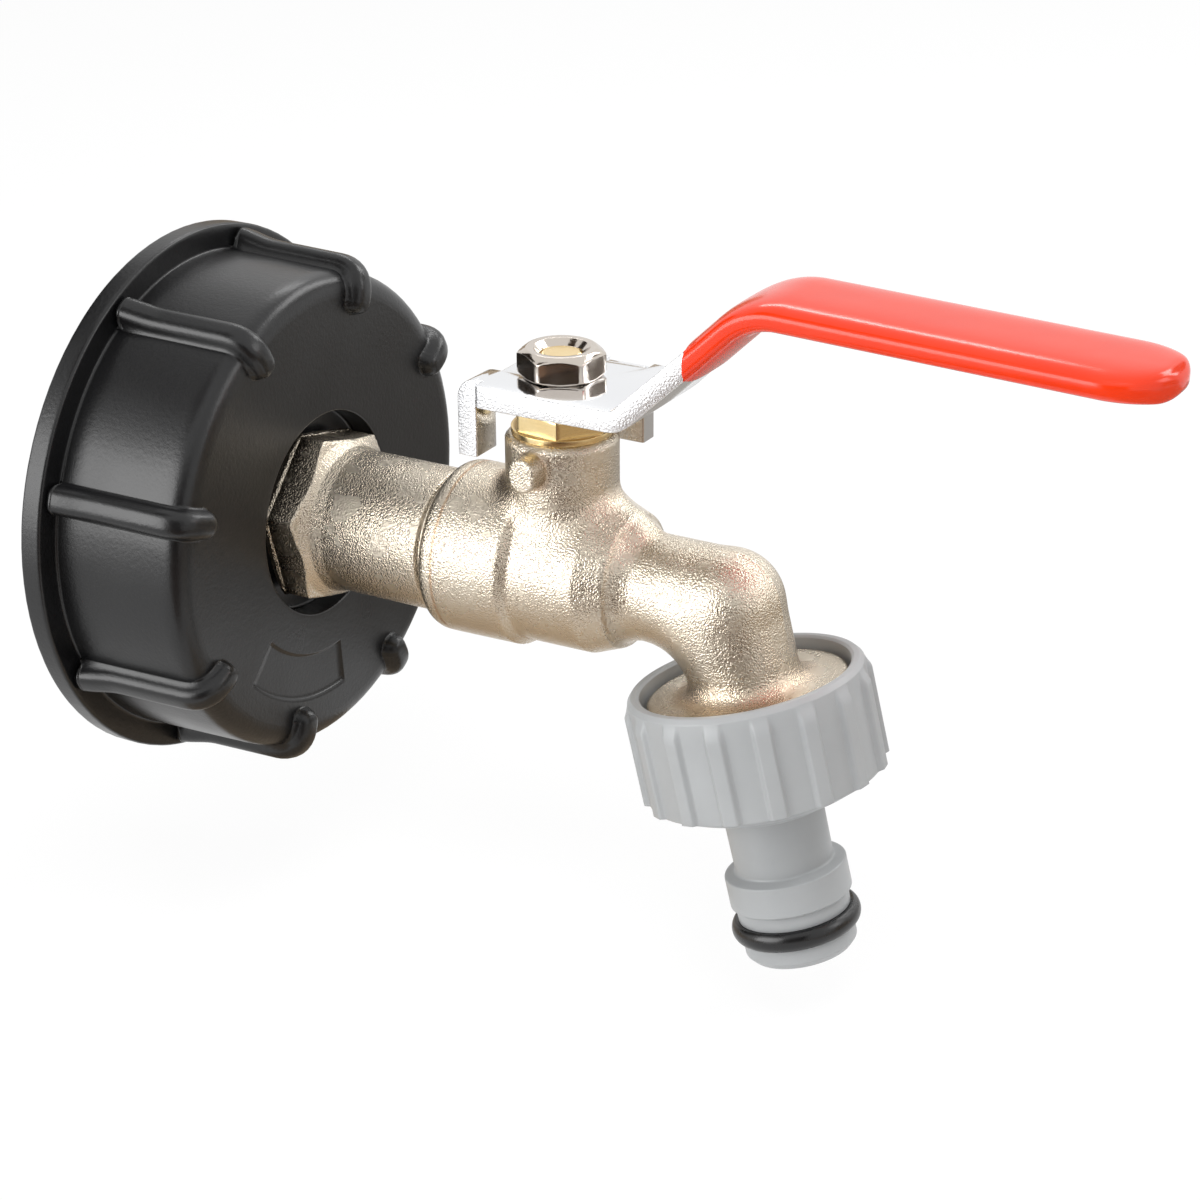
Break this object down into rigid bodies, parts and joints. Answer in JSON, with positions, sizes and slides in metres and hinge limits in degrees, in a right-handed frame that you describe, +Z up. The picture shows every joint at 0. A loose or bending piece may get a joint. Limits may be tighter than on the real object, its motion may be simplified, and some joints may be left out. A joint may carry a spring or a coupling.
{
  "type": "tank tap adapter",
  "caption": "Tank outlet adapter: ribbed cap with a coarse female thread, brass lever ball valve with a bent spout, and a screwed hose connector with a quick-connect nipple.",
  "frame": {"origin": "centre of the cap's open rim, on the axis of the tank thread", "axes": "+X along the flow, out of the tank; +Z up along the valve stem; +Y to the far side in the picture"},
  "size_m": [0.1526, 0.0796, 0.0987],
  "materials": {
    "black_pp": "satin",
    "black_rubber": "matte",
    "nickel_brass": "satin",
    "ptfe": "matte",
    "chrome_brass": "polished",
    "bare_brass": "satin",
    "chrome_steel": "polished",
    "red_vinyl": "gloss",
    "grey_plastic": "satin"
  },
  "bodies": {
    "valve": {"tank_cap": "black_pp", "cap_gasket": "black_rubber", "nipple_seal": "black_rubber", "inlet_nipple": "nickel_brass", "thread_seal": "ptfe", "valve_body": "nickel_brass", "inlet_seat": "ptfe", "outlet_seat": "ptfe", "stem_thrust_washer": "ptfe", "stem_packing": "ptfe", "packing_follower": "bare_brass", "gland_nut": "bare_brass"},
    "lever_set": {"lever": "chrome_steel", "grip_sleeve": "red_vinyl", "lever_nut": "chrome_steel", "stem": "bare_brass", "ball": "chrome_brass"},
    "collar_washer": {"connector_washer": "black_rubber"},
    "connector": {"hose_connector": "grey_plastic", "nipple_o_ring": "black_rubber"}
  },
  "joints": [
    {"name": "lever_turn", "type": "hinge", "parent": "valve", "child": "lever_set", "pos_m": [0.0646, 0, 0.02], "axis": [0, 0, 1], "range_deg": [-90, 0]},
    {"name": "connector_feed", "type": "slide", "parent": "valve", "child": "collar_washer", "axis": [0.2402, 0, -0.9707], "range_m": [0, 0.00635]},
    {"name": "connector_turn", "type": "hinge", "parent": "collar_washer", "child": "connector", "pos_m": [0.09332, 0, -0.01049], "axis": [0.2402, 0, -0.9707], "range_deg": [0, 1260]}
  ],
  "couplings": [
    {"joint": "connector_turn", "follows": "connector_feed", "rad_per_m": 3463.7}
  ]
}
